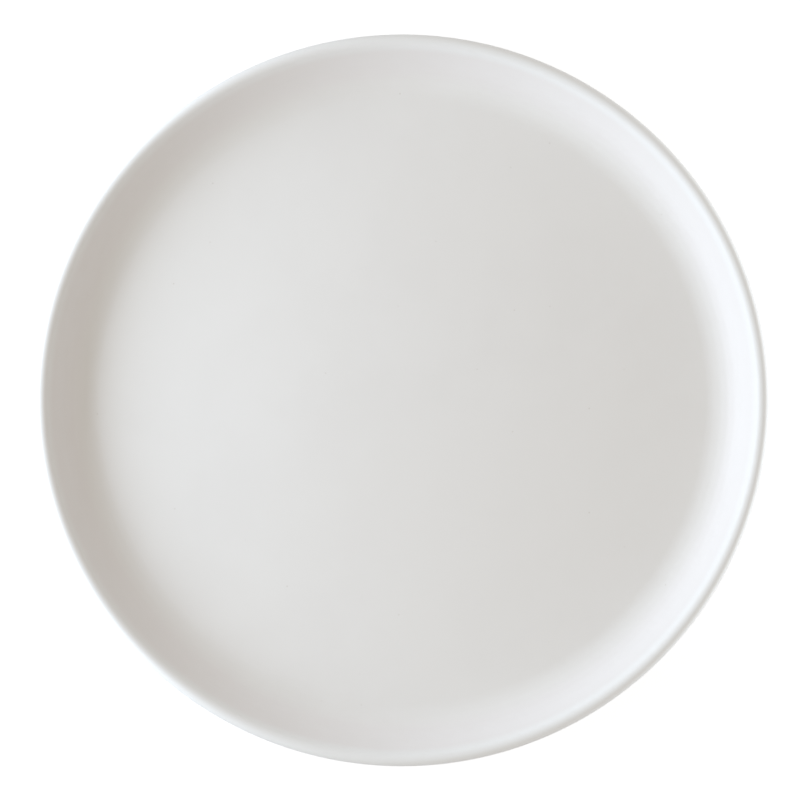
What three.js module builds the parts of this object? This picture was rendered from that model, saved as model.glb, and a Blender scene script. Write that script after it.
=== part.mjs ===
// A round pizza plate: one fired clay body with glaze fused over it, bare only at the foot.
// Millimetres, +Z up. The origin is the centre of the foot ring, on the table.
import * as THREE from 'three';

// Finished sizes, over the glaze
const PLATE_DIAMETER = 320;
const WELL_DEPTH = 16; // top of the lip down to the floor of the well
const FLOOR_THICKNESS = 6; // floor of the well down to the underside
const LIP_INNER_ROUND = 3.6; // from the crest of the lip into the well
const LIP_OUTER_ROUND = 2.6; // from the crest of the lip to the outside
const WELL_FILLET = 20; // inside round between floor and wall
const KNEE_RADIUS = 26; // outside round between underside and wall

// Slopes of the wall, in degrees from level: the wall grows thicker towards the knee
const INNER_SLOPE = 54;
const OUTER_SLOPE = 55;

// Foot ring that the plate stands on
const FOOT_DIAMETER = 226; // at the middle of the flat that touches the table
const FOOT_FLAT = 3.6; // width of that flat
const FOOT_HEIGHT = 4.5; // table up to the glazed underside
const FOOT_SLOPE = 65; // sides of the foot, in degrees from level
const FOOT_FILLET = 2; // round where the foot leaves the underside
const FOOT_CORNER = 1; // round at the edges of the flat

// Glaze
const GLAZE_THICKNESS = 0.4;
const GLAZE_LINE = 1.6; // height above the table where the wiped foot ends and the glaze begins
const FUSE_GAP = 0.02; // keeps the clay and the glaze two solids

// Facets of the solids
const FACETS_AROUND = 64;
const FACET_DEPTH = 0.08; // most that a facet cuts inside its round

const clayColor = { color: 0xe3dccf, roughness: 0.9, metalness: 0 };
const glazeColor = { color: 0xefedea, roughness: 0.42, metalness: 0 };

// Heights and radii of the clay, which lies one glaze thickness inside the finished sizes
const undersideZ = FOOT_HEIGHT + GLAZE_THICKNESS;
const floorZ = FOOT_HEIGHT + FLOOR_THICKNESS - GLAZE_THICKNESS;
const lipTopZ = FOOT_HEIGHT + FLOOR_THICKNESS + WELL_DEPTH - GLAZE_THICKNESS;
const lipInner = LIP_INNER_ROUND - GLAZE_THICKNESS;
const lipOuter = LIP_OUTER_ROUND - GLAZE_THICKNESS;
const lipR = PLATE_DIAMETER / 2 - LIP_OUTER_ROUND;
const filletRadius = WELL_FILLET + GLAZE_THICKNESS;
const kneeRadius = KNEE_RADIUS - GLAZE_THICKNESS;
const footFillet = FOOT_FILLET + GLAZE_THICKNESS;

const innerSlope = THREE.MathUtils.degToRad(INNER_SLOPE);
const outerSlope = THREE.MathUtils.degToRad(OUTER_SLOPE);
const footSlope = THREE.MathUtils.degToRad(FOOT_SLOPE);

// Sideways distance between the centres of two rounds that a straight slope joins.
// rise is the height between the levels that the rounds turn out of and into.
// bend is the sum of their radii, or the difference where both turn the same way.
function reach(rise, slope, bend) {
  const straight = (rise - bend * (1 - Math.cos(slope))) / Math.sin(slope);
  return bend * Math.sin(slope) + straight * Math.cos(slope);
}

// A point of the outline: where it is on the clay, and which way the surface faces there
function outlinePoint(r, z, heading) {
  return { on: new THREE.Vector2(r, z), out: new THREE.Vector2(Math.sin(heading), -Math.cos(heading)) };
}

// A round of the outline, from one heading to another: a left turn is convex, a right turn hollow
function round(r, z, radius, from, to) {
  const steps = Math.ceil(Math.abs(to - from) / (2 * Math.acos(1 - FACET_DEPTH / radius)));
  const side = Math.sign(to - from);
  return Array.from({ length: steps + 1 }, (_, step) => {
    const point = outlinePoint(r, z, THREE.MathUtils.lerp(from, to, step / steps));
    point.on.addScaledVector(point.out, side * radius);
    return point;
  });
}

// The point at a height on the straight between two rounds
function between(lower, upper, z) {
  const share = (z - lower.on.y) / (upper.on.y - lower.on.y);
  return { on: lower.on.clone().lerp(upper.on, share), out: lower.out };
}

// The outline runs from the axis out along the underside, round the foot, up the wall and back over the well.
// Its straights are the gaps between rounds, so every round meets the next without a corner.
const footReach = reach(undersideZ, footSlope, FOOT_CORNER + footFillet);
const footInnerR = FOOT_DIAMETER / 2 - FOOT_FLAT / 2;
const footOuterR = FOOT_DIAMETER / 2 + FOOT_FLAT / 2;
const kneeR = lipR - reach(lipTopZ - 2 * lipOuter - undersideZ, outerSlope, kneeRadius - lipOuter);
const filletR = lipR - reach(lipTopZ - floorZ, innerSlope, filletRadius + lipInner);

const recessFillet = round(footInnerR - footReach, undersideZ - footFillet, footFillet, 0, -footSlope);
const footInnerCorner = round(footInnerR, FOOT_CORNER, FOOT_CORNER, -footSlope, 0);
const footOuterCorner = round(footOuterR, FOOT_CORNER, FOOT_CORNER, 0, footSlope);
const outerFillet = round(footOuterR + footReach, undersideZ - footFillet, footFillet, footSlope, 0);
const knee = round(kneeR, undersideZ + kneeRadius, kneeRadius, 0, outerSlope);
const lipOutside = round(lipR, lipTopZ - lipOuter, lipOuter, outerSlope, Math.PI);
const lipInside = round(lipR, lipTopZ - lipInner, lipInner, Math.PI, Math.PI + innerSlope);
const wellFillet = round(filletR, floorZ + filletRadius, filletRadius, Math.PI + innerSlope, Math.PI);

const baseOutline = [
  outlinePoint(0, undersideZ, 0),
  ...recessFillet,
  between(footInnerCorner.at(0), recessFillet.at(-1), GLAZE_LINE),
];
const bareOutline = [...footInnerCorner, ...footOuterCorner];
const coatOutline = [
  between(footOuterCorner.at(-1), outerFillet.at(0), GLAZE_LINE),
  ...outerFillet,
  ...knee,
  ...lipOutside,
  ...lipInside.slice(1), // both halves of the lip hold its crest
  ...wellFillet,
  outlinePoint(0, floorZ, Math.PI),
];

// The outline's points, moved out from the clay by a distance
function pointsAt(outline, distance) {
  return outline.map((point) => point.on.clone().addScaledVector(point.out, distance));
}

// A solid of revolution about the plate's axis
function turned(name, points, finish) {
  const geometry = new THREE.LatheGeometry(points, FACETS_AROUND).rotateX(Math.PI / 2);
  const mesh = new THREE.Mesh(geometry, new THREE.MeshStandardMaterial(finish));
  mesh.name = name;
  return mesh;
}

// The clay, in one piece: floor, wall, lip and foot ring
const clay = pointsAt([...baseOutline, ...bareOutline, ...coatOutline], 0);

// The glaze over the well, lip and outside, and the disc of it inside the foot ring
const coat = [...pointsAt(coatOutline, FUSE_GAP).reverse(), ...pointsAt(coatOutline, GLAZE_THICKNESS)];
const base = [...pointsAt(baseOutline, GLAZE_THICKNESS), ...pointsAt(baseOutline, FUSE_GAP).reverse()];

const plate = new THREE.Group();
plate.name = 'pizza_plate';
plate.add(
  turned('fired_body', clay, clayColor),
  turned('glaze_coat', coat, glazeColor),
  turned('base_glaze', base, glazeColor),
);

export default plate;
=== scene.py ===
# A round white pizza plate: satin glaze fused over a fired clay body that is bare at the foot ring.
import math

import bpy
from mathutils import Matrix, Vector


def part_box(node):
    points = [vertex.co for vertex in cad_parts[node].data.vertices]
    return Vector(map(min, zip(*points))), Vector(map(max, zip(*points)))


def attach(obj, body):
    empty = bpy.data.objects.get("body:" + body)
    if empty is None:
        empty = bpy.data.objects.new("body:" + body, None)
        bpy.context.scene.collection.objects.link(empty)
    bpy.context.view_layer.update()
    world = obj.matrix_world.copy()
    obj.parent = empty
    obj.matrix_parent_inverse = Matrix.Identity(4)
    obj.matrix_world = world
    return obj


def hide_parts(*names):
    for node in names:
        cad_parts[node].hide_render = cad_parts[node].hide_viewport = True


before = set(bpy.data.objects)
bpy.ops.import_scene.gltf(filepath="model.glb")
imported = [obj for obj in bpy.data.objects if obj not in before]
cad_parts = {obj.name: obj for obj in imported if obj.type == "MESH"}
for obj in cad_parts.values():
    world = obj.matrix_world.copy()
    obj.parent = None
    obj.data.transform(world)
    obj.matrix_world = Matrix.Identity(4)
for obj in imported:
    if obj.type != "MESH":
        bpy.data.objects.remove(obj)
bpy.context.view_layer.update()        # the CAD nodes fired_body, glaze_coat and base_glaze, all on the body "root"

MM = 0.001

# Finished sizes over the glaze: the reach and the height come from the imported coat
RIM_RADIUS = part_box("glaze_coat")[1].x
LIP_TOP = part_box("glaze_coat")[1].z
WELL_DEPTH = 16 * MM  # top of the lip down to the floor of the well
LIP_INNER_ROUND = 3.6 * MM  # from the crest of the lip into the well
LIP_OUTER_ROUND = 2.6 * MM  # from the crest of the lip to the outside
WELL_FILLET = 20 * MM  # inside round between floor and wall
KNEE_RADIUS = 26 * MM  # outside round between underside and wall
INNER_SLOPE = math.radians(54)
OUTER_SLOPE = math.radians(55)

# Foot ring
FOOT_RADIUS = 113 * MM  # to the middle of the flat that touches the table
FOOT_FLAT = 3.6 * MM  # width of that flat
FOOT_HEIGHT = 4.5 * MM  # table up to the glazed underside
FOOT_SLOPE = math.radians(65)
FOOT_FILLET = 2 * MM  # round where the foot leaves the underside
FOOT_CORNER = 1 * MM  # round at the edges of the flat

# Glaze
GLAZE = 0.4 * MM  # how far the finished face lies off the clay
GLAZE_LINE = 1.6 * MM  # height over the table where the wiped foot ends and the glaze begins
FUSE_GAP = 0.02 * MM  # keeps the clay and the glaze two skins

# Faint rings that the turning left in the wall
RING_PITCH = 3.4 * MM
RING_DEPTH = 0.010 * MM

# Fineness of the turned skins
FACETS_AROUND = 256
FACET_TURN = math.radians(10)  # most that a round turns in one facet
FINE_STEP = 0.55 * MM  # along the face of the coat
COARSE_STEP = 2.5 * MM  # along the clay, the base glaze and the inside of the coat
FLAT_STEP = 8 * MM  # along the flats
GLAZE_END_STEPS = 6
MERGE_DISTANCE = 0.002 * MM

# Finish of the glaze: a range is the stretch of a noise, within 0 and 1, that a change runs over
GLAZE_WHITE = (0.853, 0.850, 0.843)
GLAZE_CLOUD = (0.867, 0.865, 0.859)
GLAZE_DRIFT = (0.866, 0.862, 0.851)
# painted shade tint: the pinker tone that a shaded wall takes in warm light, painted on the wall
GLAZE_SHADE_TINT = (0.850, 0.836, 0.835)
# painted highlight: a paler, cooler tone along the lip
GLAZE_LIP_HIGHLIGHT = (0.882, 0.890, 0.892)
GLAZE_ROUGHNESS = (0.47, 0.57)
GLAZE_ROUGHNESS_RANGE = (0.25, 0.75)
SHADE_TINT_BAND = (0.5 * MM, 4 * MM)  # height over the floor of the well in which the painted shade tint sets in
LIP_HIGHLIGHT_BAND = (4.5 * MM, 1 * MM)  # depth under the top of the lip in which the painted highlight sets in
CLOUDS_PER_METRE = 38
CLOUD_RANGE = (0.3, 0.7)
DRIFTS_PER_METRE = 9
DRIFT_RANGE = (0.35, 0.65)
DRIFT_SHARE = 0.5
PEEL_PER_METRE = 320
PEEL_DEPTH = 0.008 * MM
SATIN_PER_METRE = 2600
SATIN_DEPTH = 0.0015 * MM

# Specks in the glaze
SPECK_COLOR = (0.42, 0.37, 0.31)
SPECKS_PER_METRE = 60
SPECK_RADIUS = 0.45 * MM
SPECK_CORE = 0.5  # share of the radius within which a speck is even
SPECK_CHANCE = 0.2
SPECK_SHARE = (0.1, 0.35)
SPECK_SHARE_RANGE = (0.2, 0.8)
SPECK_FACING = (0.7, 0.9)  # upward part of the facing in which the specks set in

# Finish of the bare clay
CLAY_PALE = (0.79, 0.74, 0.66)
CLAY_DARK = (0.66, 0.60, 0.52)
CLAY_STAIN = (0.72, 0.64, 0.53)
CLAY_TOAST = (0.62, 0.46, 0.31)
CLAY_GRIT = (0.36, 0.30, 0.24)
CLAY_ROUGHNESS = (0.86, 0.97)
CLAY_ROUGHNESS_RANGE = (0.2, 0.8)
SAND_PER_METRE = 1500
SAND_RANGE = (0.3, 0.7)
SAND_DEPTH = 0.05 * MM
STAINS_PER_METRE = 60
STAIN_RANGE = (0.4, 0.75)
STAIN_SHARE = 0.35
WIPE_SCALE = 420  # rings of the sponge, about 0.75 mm apart
WIPE_WAVER = 1.5
WIPE_RANGE = (0.2, 0.9)
WIPE_SHARE = 0.2
WIPE_DEPTH = 0.03 * MM
TOAST_START = 0.6 * MM  # height over the table from which the clay is toasted
TOAST_SHARE = 0.55
GRIT_PER_METRE = 3200
GRIT_RANGE = (0.66, 0.74)
GRIT_SHARE = 0.5

# Photograph: 800 pixels square, seen from nearly above
CAMERA_DISTANCE = 1.1
CAMERA_TILT = math.radians(4)  # off the plate's axis
CAMERA_TOWARDS = math.radians(-75)  # the side that it is tilted to, counted from +X towards +Y
SENSOR_WIDTH = 36.0
RIM_SHARE = 0.919  # the rim's diameter, as a share of the picture
RIGHT_SHARE = 0.005  # how far right of the middle the plate lies, as a share of half the picture

# Light
KEY_PLACE = (-0.602, 0.02, 0.253)
KEY_AIM = (0.0, 0.0, 0.01)
KEY_SIZE = (1.0, 0.3)
KEY_WATTS = 5.08
KEY_COLOR = (0.762, 0.874, 1.0)
STRIP_PLACE = (0.42, 0.0, 0.014)  # below the rim: it lights the outside of the wall and not the well
STRIP_AIM = (0.0, 0.0, 0.014)
STRIP_SIZE = (0.9, 0.02)
STRIP_WATTS = 1.2
STRIP_COLOR = (0.85, 0.93, 1.0)
FILL_COLOR = (1.0, 0.929, 0.842)
FILL_STRENGTH = 0.567
WHITE = (1.0, 1.0, 1.0)
SWEEP_SIZE = 8.0
SWEEP_GLOW = 0.82  # what the floor gives off where it is seen directly
SWEEP_PAPER = 0.34  # its paper there, which takes the shadow
BOUNCE_PAPER = 0.5  # its paper where it throws light back on the plate


# Outlines: lists of points (radius, height), each with the way its surface faces

INWARD = math.pi  # heading of an outline that travels level towards the axis


def outline_point(radius, height, heading):
    """A point where the outline travels along heading. Its surface faces right of the travel."""
    return Vector((radius, height)), Vector((math.sin(heading), -math.cos(heading)))


def round_of(centre_radius, centre_height, bend, start, end, step):
    """A round of radius bend between two headings: a left turn is convex and a right turn hollow."""
    turn = abs(end - start)
    count = math.ceil(max(turn / FACET_TURN, turn * bend / step))
    side = math.copysign(bend, end - start)
    points = []
    for index in range(count + 1):
        place, face = outline_point(centre_radius, centre_height, start + (end - start) * index / count)
        points.append((place + face * side, face))
    return points


def joined(rounds, step):
    """One outline through the rounds, with points at every step of the straights between them."""
    points = list(rounds[0])
    for following in rounds[1:]:
        place, face = points[-1]
        gap = following[0][0] - place
        count = math.ceil(gap.length / step)
        points += [(place + gap * index / count, face) for index in range(1, count)]
        points += following
    return points


def reach(rise, slope, bend):
    """Sideways distance between the centres of two rounds that a straight slope joins."""
    straight = (rise - bend * (1 - math.cos(slope))) / math.sin(slope)
    return bend * math.sin(slope) + straight * math.cos(slope)


def crossing(lower, upper, height):
    """The point at a height on the straight between two outline points."""
    share = (height - lower[0].y) / (upper[0].y - lower[0].y)
    return lower[0].lerp(upper[0], share), lower[1]


def moved_out(points, distance):
    """The outline moved a distance out of the clay."""
    return [(place + face * distance, face) for place, face in points]


def places(points):
    """The points of an outline, without the ways they face."""
    return [place for place, face in points]


# The clay lies one glaze thickness inside the finished sizes
underside = FOOT_HEIGHT + GLAZE
floor = LIP_TOP - WELL_DEPTH - GLAZE
crest = LIP_TOP - GLAZE
lip_radius = RIM_RADIUS - LIP_OUTER_ROUND
lip_inner_bend = LIP_INNER_ROUND - GLAZE
lip_outer_bend = LIP_OUTER_ROUND - GLAZE
fillet_bend = WELL_FILLET + GLAZE
knee_bend = KNEE_RADIUS - GLAZE
foot_bend = FOOT_FILLET + GLAZE
foot_inside = FOOT_RADIUS - FOOT_FLAT / 2
foot_outside = FOOT_RADIUS + FOOT_FLAT / 2
foot_reach = reach(underside, FOOT_SLOPE, FOOT_CORNER + foot_bend)
knee_rise = crest - 2 * lip_outer_bend - underside
knee_radius = lip_radius - reach(knee_rise, OUTER_SLOPE, knee_bend - lip_outer_bend)
fillet_radius = lip_radius - reach(crest - floor, INNER_SLOPE, fillet_bend + lip_inner_bend)


def clay_outline(step):
    """The clay's outline in three runs: under the base glaze, bare round the foot, and under the coat."""
    recess = round_of(foot_inside - foot_reach, underside - foot_bend, foot_bend, 0, -FOOT_SLOPE, step)
    inner_corner = round_of(foot_inside, FOOT_CORNER, FOOT_CORNER, -FOOT_SLOPE, 0, step)
    outer_corner = round_of(foot_outside, FOOT_CORNER, FOOT_CORNER, 0, FOOT_SLOPE, step)
    foot = round_of(foot_outside + foot_reach, underside - foot_bend, foot_bend, FOOT_SLOPE, 0, step)
    knee = round_of(knee_radius, underside + knee_bend, knee_bend, 0, OUTER_SLOPE, step)
    lip_outside = round_of(lip_radius, crest - lip_outer_bend, lip_outer_bend, OUTER_SLOPE, INWARD, step)
    down_the_wall = INWARD + INNER_SLOPE
    lip_inside = round_of(lip_radius, crest - lip_inner_bend, lip_inner_bend, INWARD, down_the_wall, step)
    well = round_of(fillet_radius, floor + fillet_bend, fillet_bend, down_the_wall, INWARD, step)
    base_edge = crossing(inner_corner[0], recess[-1], GLAZE_LINE)
    coat_edge = crossing(outer_corner[-1], foot[0], GLAZE_LINE)

    base_run = joined([[outline_point(0, underside, 0)], recess, [base_edge]], FLAT_STEP)
    bare_run = inner_corner + outer_corner
    coat_run = joined([[coat_edge], foot, knee, lip_outside, lip_inside[1:], well], step)
    coat_run += joined([well[-1:], [outline_point(0, floor, INWARD)]], FLAT_STEP)[1:]
    return base_run, bare_run, coat_run


def with_turning_rings(points):
    """Faint rings along the wall and its fillet, dying out towards the lip and the floor."""
    wall_top = lip_radius - LIP_INNER_ROUND * math.sin(INNER_SLOPE)
    ringed, travelled = [], 0.0
    for index, (place, face) in enumerate(points):
        travelled += (place - points[max(index - 1, 0)][0]).length
        share = (place.x - fillet_radius) / (wall_top - fillet_radius)
        inside = face.x < 0 and 0 < share < 1
        swell = RING_DEPTH * math.sin(math.pi * share) if inside else 0.0
        ringed.append((place + face * swell * math.sin(math.tau * travelled / RING_PITCH), face))
    return ringed


def glaze_end(edge, along):
    """The half-round edge where the glaze stops: from the clay out to the finished face."""
    place, face = edge
    middle = place + face * (GLAZE + FUSE_GAP) / 2
    bend = (GLAZE - FUSE_GAP) / 2
    turns = [math.pi * index / GLAZE_END_STEPS for index in range(1, GLAZE_END_STEPS)]
    return [middle - face * bend * math.cos(turn) + along * bend * math.sin(turn) for turn in turns]


# Pieces

def turned(name, points):
    """A wire drawn along the points and spun round the plate's axis into a closed skin."""
    bpy.ops.object.select_all(action="DESELECT")
    # A small plane, merged into one point, starts the wire
    bpy.ops.mesh.primitive_plane_add(size=GLAZE, enter_editmode=True, location=(0, 0, 0))
    piece = bpy.context.object
    bpy.ops.mesh.merge(type="CENTER")
    bpy.ops.transform.translate(value=(points[0].x, 0, points[0].y))
    for here, following in zip(points, points[1:]):
        step = following - here
        bpy.ops.mesh.extrude_vertices_move(TRANSFORM_OT_translate={"value": (step.x, 0, step.y)})
    bpy.ops.mesh.select_all(action="SELECT")
    bpy.ops.mesh.spin(steps=FACETS_AROUND, angle=math.tau, center=(0, 0, 0), axis=(0, 0, 1))
    bpy.ops.mesh.select_all(action="SELECT")
    bpy.ops.mesh.remove_doubles(threshold=MERGE_DISTANCE)
    bpy.ops.mesh.normals_make_consistent(inside=False)
    bpy.ops.object.mode_set(mode="OBJECT")
    bpy.ops.object.shade_smooth()
    piece.name = name
    piece.data.name = name
    return piece


def seat(piece, node, material):
    """Dresses a piece and puts it in the place of its CAD node."""
    piece.data.materials.append(material)
    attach(piece, "root")
    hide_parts(node)


# Materials

def add_node(material, kind, **inputs):
    """A node with some of its inputs set: an underscore stands for a space in an input's name."""
    node = material.node_tree.nodes.new(kind)
    for name, value in inputs.items():
        node.inputs[name.replace("_", " ")].default_value = value
    return node


def new_material(name):
    """A material, its shader, and the place on the piece that its patterns run on."""
    material = bpy.data.materials.new(name)
    material.use_nodes = True
    place = add_node(material, "ShaderNodeTexCoord").outputs["Object"]
    return material, material.node_tree.nodes["Principled BSDF"], place


def noise(material, place, per_metre, detail):
    """Noise with about per_metre swells to the metre, and finer ones in them by detail."""
    node = add_node(material, "ShaderNodeTexNoise", Scale=per_metre, Detail=detail)
    material.node_tree.links.new(place, node.inputs["Vector"])
    return node.outputs["Fac"]


def upward(material, vector):
    """The part of a place or a facing that points up."""
    node = add_node(material, "ShaderNodeSeparateXYZ")
    material.node_tree.links.new(vector, node.inputs["Vector"])
    return node.outputs["Z"]


def ramp(material, value, start, end, low=0.0, high=1.0):
    """low up to start, high from end on, and a smooth change between."""
    node = add_node(material, "ShaderNodeMapRange", From_Min=start, From_Max=end, To_Min=low, To_Max=high)
    node.interpolation_type = "SMOOTHSTEP"
    material.node_tree.links.new(value, node.inputs["Value"])
    return node.outputs["Result"]


def product(material, first, second):
    node = add_node(material, "ShaderNodeMath")
    node.operation = "MULTIPLY"
    material.node_tree.links.new(first, node.inputs[0])
    material.node_tree.links.new(second, node.inputs[1])
    return node.outputs["Value"]


def mixed(material, share, under, over):
    """The colour over laid on the colour under, which may be a colour or the output of a node."""
    node = add_node(material, "ShaderNodeMixRGB", Color2=(*over, 1))
    if isinstance(under, tuple):
        node.inputs["Color1"].default_value = (*under, 1)
    else:
        material.node_tree.links.new(under, node.inputs["Color1"])
    material.node_tree.links.new(share, node.inputs["Fac"])
    return node.outputs["Color"]


def bumped(material, height, distance, below=None):
    """A relief of a real depth, on top of the relief below it."""
    node = add_node(material, "ShaderNodeBump", Strength=1.0, Distance=distance)
    material.node_tree.links.new(height, node.inputs["Height"])
    if below:
        material.node_tree.links.new(below, node.inputs["Normal"])
    return node.outputs["Normal"]


def specks(material, place):
    """A few small round specks on what lies nearly level: 1 in their middles, 0 around them."""
    cells = add_node(material, "ShaderNodeTexVoronoi", Scale=SPECKS_PER_METRE)
    cells.voronoi_dimensions = "2D"
    material.node_tree.links.new(place, cells.inputs["Vector"])
    size = SPECK_RADIUS * SPECKS_PER_METRE
    dot = ramp(material, cells.outputs["Distance"], size * SPECK_CORE, size, 1.0, 0.0)
    chance = add_node(material, "ShaderNodeSeparateColor")
    material.node_tree.links.new(cells.outputs["Color"], chance.inputs["Color"])
    chosen = ramp(material, chance.outputs["Red"], 1 - SPECK_CHANCE, 1.0)
    facing = add_node(material, "ShaderNodeTexCoord").outputs["Normal"]
    level = ramp(material, upward(material, facing), *SPECK_FACING)
    return product(material, product(material, dot, chosen), level)


def satin_glaze():
    """White satin glaze: faintly clouded, with painted shade that tints the wall warmer, a painted highlight that
    makes the lip paler, and a few specks.
    """
    material, shader, place = new_material("satin_glaze")
    links = material.node_tree.links
    height = upward(material, place)
    cloud = noise(material, place, CLOUDS_PER_METRE, detail=4)
    drift = noise(material, place, DRIFTS_PER_METRE, detail=2)
    strength = ramp(material, drift, *SPECK_SHARE_RANGE, *SPECK_SHARE)
    speck = product(material, specks(material, place), strength)

    tone = mixed(material, ramp(material, cloud, *CLOUD_RANGE), GLAZE_WHITE, GLAZE_CLOUD)
    tone = mixed(material, ramp(material, drift, *DRIFT_RANGE, 0.0, DRIFT_SHARE), tone, GLAZE_DRIFT)
    # painted shade tint over the wall above the floor of the well
    shade_tint_start, shade_tint_end = (LIP_TOP - WELL_DEPTH + rise for rise in SHADE_TINT_BAND)
    tone = mixed(material, ramp(material, height, shade_tint_start, shade_tint_end), tone, GLAZE_SHADE_TINT)
    # painted highlight along the top of the lip and the upper wall
    highlight_start, highlight_end = (LIP_TOP - depth for depth in LIP_HIGHLIGHT_BAND)
    tone = mixed(material, ramp(material, height, highlight_start, highlight_end), tone, GLAZE_LIP_HIGHLIGHT)
    tone = mixed(material, speck, tone, SPECK_COLOR)
    links.new(tone, shader.inputs["Base Color"])

    roughness = ramp(material, cloud, *GLAZE_ROUGHNESS_RANGE, *GLAZE_ROUGHNESS)
    links.new(roughness, shader.inputs["Roughness"])
    peel = bumped(material, noise(material, place, PEEL_PER_METRE, detail=2), PEEL_DEPTH)
    satin = bumped(material, noise(material, place, SATIN_PER_METRE, detail=2), SATIN_DEPTH, peel)
    links.new(satin, shader.inputs["Normal"])
    return material


def bare_clay():
    """Wiped, unglazed clay of the foot: matte and sandy, ringed by the sponge, toasted along the glaze."""
    material, shader, place = new_material("bare_clay")
    links = material.node_tree.links
    sand = noise(material, place, SAND_PER_METRE, detail=3)
    stain = noise(material, place, STAINS_PER_METRE, detail=3)
    grit = noise(material, place, GRIT_PER_METRE, detail=1)
    toast = ramp(material, upward(material, place), TOAST_START, GLAZE_LINE, 0.0, TOAST_SHARE)
    waves = add_node(material, "ShaderNodeTexWave", Scale=WIPE_SCALE, Distortion=WIPE_WAVER, Detail=2)
    waves.wave_type = "RINGS"
    waves.rings_direction = "Z"
    links.new(place, waves.inputs["Vector"])
    wiped = waves.outputs["Fac"]

    tone = mixed(material, ramp(material, sand, *SAND_RANGE), CLAY_DARK, CLAY_PALE)
    tone = mixed(material, ramp(material, stain, *STAIN_RANGE, 0.0, STAIN_SHARE), tone, CLAY_STAIN)
    tone = mixed(material, ramp(material, wiped, *WIPE_RANGE, 0.0, WIPE_SHARE), tone, CLAY_DARK)
    tone = mixed(material, toast, tone, CLAY_TOAST)
    tone = mixed(material, ramp(material, grit, *GRIT_RANGE, 0.0, GRIT_SHARE), tone, CLAY_GRIT)
    links.new(tone, shader.inputs["Base Color"])

    roughness = ramp(material, sand, *CLAY_ROUGHNESS_RANGE, *CLAY_ROUGHNESS)
    links.new(roughness, shader.inputs["Roughness"])
    rings = bumped(material, wiped, WIPE_DEPTH)
    links.new(bumped(material, sand, SAND_DEPTH, rings), shader.inputs["Normal"])
    return material


# Stage, light and camera

def seen_directly(tree):
    """1 for rays from the camera, from gloss and through glass, which meet the white surroundings."""
    path = tree.nodes.new("ShaderNodeLightPath")
    total = path.outputs["Is Camera Ray"]
    for output in ("Is Glossy Ray", "Is Transmission Ray"):
        either = tree.nodes.new("ShaderNodeMath")
        either.operation = "MAXIMUM"
        tree.links.new(total, either.inputs[0])
        tree.links.new(path.outputs[output], either.inputs[1])
        total = either.outputs[0]
    return total


def paper(tree, white):
    node = tree.nodes.new("ShaderNodeBsdfDiffuse")
    node.inputs["Color"].default_value = (white, white, white, 1)
    return node.outputs[0]


def white_sweep():
    """A wide paper floor. Seen directly it glows: it reads as white and still keeps the plate's shadow."""
    bpy.ops.object.select_all(action="DESELECT")
    bpy.ops.mesh.primitive_plane_add(size=SWEEP_SIZE, location=(0, 0, 0))
    sweep = bpy.context.object
    sweep.name = "white_sweep"
    material = bpy.data.materials.new("white_sweep")
    material.use_nodes = True
    tree = material.node_tree
    tree.nodes.clear()
    glow = tree.nodes.new("ShaderNodeEmission")
    glow.inputs["Color"].default_value = (*WHITE, 1)
    glow.inputs["Strength"].default_value = SWEEP_GLOW
    shown = tree.nodes.new("ShaderNodeAddShader")
    tree.links.new(glow.outputs[0], shown.inputs[0])
    tree.links.new(paper(tree, SWEEP_PAPER), shown.inputs[1])
    choice = tree.nodes.new("ShaderNodeMixShader")
    tree.links.new(seen_directly(tree), choice.inputs["Fac"])
    tree.links.new(paper(tree, BOUNCE_PAPER), choice.inputs[1])
    tree.links.new(shown.outputs[0], choice.inputs[2])
    surface = tree.nodes.new("ShaderNodeOutputMaterial")
    tree.links.new(choice.outputs[0], surface.inputs["Surface"])
    sweep.data.materials.append(material)


def warm_fill():
    """Even warm light from all round, on white surroundings."""
    world = bpy.data.worlds.new("warm_fill")
    bpy.context.scene.world = world
    world.use_nodes = True
    tree = world.node_tree
    background = tree.nodes["Background"]
    background.inputs["Color"].default_value = (*FILL_COLOR, 1)
    background.inputs["Strength"].default_value = FILL_STRENGTH
    white = tree.nodes.new("ShaderNodeBackground")
    white.inputs["Color"].default_value = (*WHITE, 1)
    choice = tree.nodes.new("ShaderNodeMixShader")
    tree.links.new(seen_directly(tree), choice.inputs["Fac"])
    tree.links.new(background.outputs[0], choice.inputs[1])
    tree.links.new(white.outputs[0], choice.inputs[2])
    tree.links.new(choice.outputs[0], tree.nodes["World Output"].inputs["Surface"])


def softbox(name, place, aim, size, watts, color):
    """A rectangular lamp that faces a point, with its width level."""
    bpy.ops.object.light_add(type="AREA", location=place)
    lamp = bpy.context.object
    lamp.name = name
    lamp.visible_camera = False
    lamp.data.shape = "RECTANGLE"
    lamp.data.size, lamp.data.size_y = size
    lamp.data.energy = watts
    lamp.data.color = color
    lamp.rotation_euler = (Vector(aim) - Vector(place)).to_track_quat("-Z", "Y").to_euler()


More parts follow.
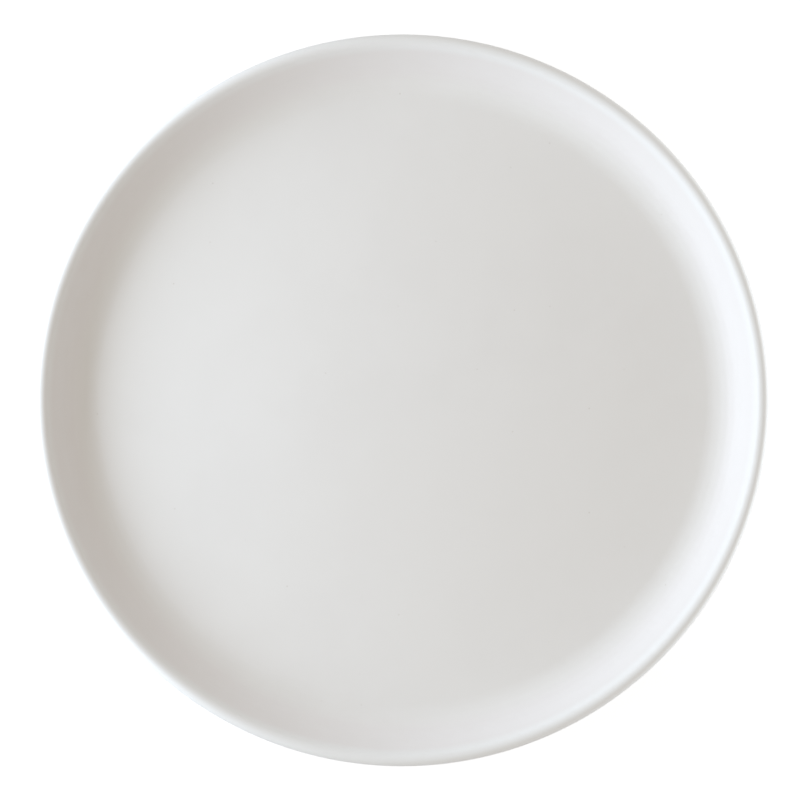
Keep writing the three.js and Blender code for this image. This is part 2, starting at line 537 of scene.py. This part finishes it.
def camera():
    """Looks down on the rim, tilted a little, with +Y up in the picture."""
    bpy.ops.object.camera_add()
    viewer = bpy.context.object
    towards = Vector((math.cos(CAMERA_TOWARDS), math.sin(CAMERA_TOWARDS), 0))
    back = towards * math.sin(CAMERA_TILT) + Vector((0, 0, math.cos(CAMERA_TILT)))
    # The near half of the rim looks larger, so the rim's middle in the picture is nearer than its centre
    nearer = RIM_RADIUS ** 2 * math.sin(CAMERA_TILT) * math.cos(CAMERA_TILT) / CAMERA_DISTANCE
    right = Vector((0, 1, 0)).cross(back).normalized()
    aside = RIGHT_SHARE * RIM_RADIUS / RIM_SHARE
    target = Vector((0, 0, LIP_TOP)) + towards * nearer - right * aside
    turn = Matrix((right, back.cross(right), back)).transposed().to_4x4()
    viewer.matrix_world = Matrix.Translation(target + back * CAMERA_DISTANCE) @ turn
    viewer.data.sensor_width = SENSOR_WIDTH
    viewer.data.lens = SENSOR_WIDTH / 2 * CAMERA_DISTANCE * RIM_SHARE / RIM_RADIUS
    bpy.context.scene.camera = viewer


camera()
softbox("key_softbox", KEY_PLACE, KEY_AIM, KEY_SIZE, KEY_WATTS, KEY_COLOR)
softbox("edge_strip", STRIP_PLACE, STRIP_AIM, STRIP_SIZE, STRIP_WATTS, STRIP_COLOR)
warm_fill()
white_sweep()
bpy.context.scene.view_settings.view_transform = "Standard"

base_run, bare_run, coat_run = clay_outline(COARSE_STEP)
fine_coat_run = clay_outline(FINE_STEP)[2]
glaze = satin_glaze()

clay = turned("clay_body", places(base_run + bare_run + coat_run))
seat(clay, "fired_body", bare_clay())

coat_skin = places(moved_out(coat_run, FUSE_GAP))[::-1]
coat_face = places(with_turning_rings(moved_out(fine_coat_run, GLAZE)))
down_the_foot = Vector((-math.cos(FOOT_SLOPE), -math.sin(FOOT_SLOPE)))
coat = turned("glaze_skin", coat_skin + glaze_end(coat_run[0], down_the_foot) + coat_face)
seat(coat, "glaze_coat", glaze)

base_skin = places(moved_out(base_run, FUSE_GAP))
base_face = places(moved_out(base_run, GLAZE))
down_the_recess = Vector((math.cos(FOOT_SLOPE), -math.sin(FOOT_SLOPE)))
base = turned("base_glaze_disc", base_skin + glaze_end(base_run[-1], down_the_recess) + base_face[::-1])
seat(base, "base_glaze", glaze)
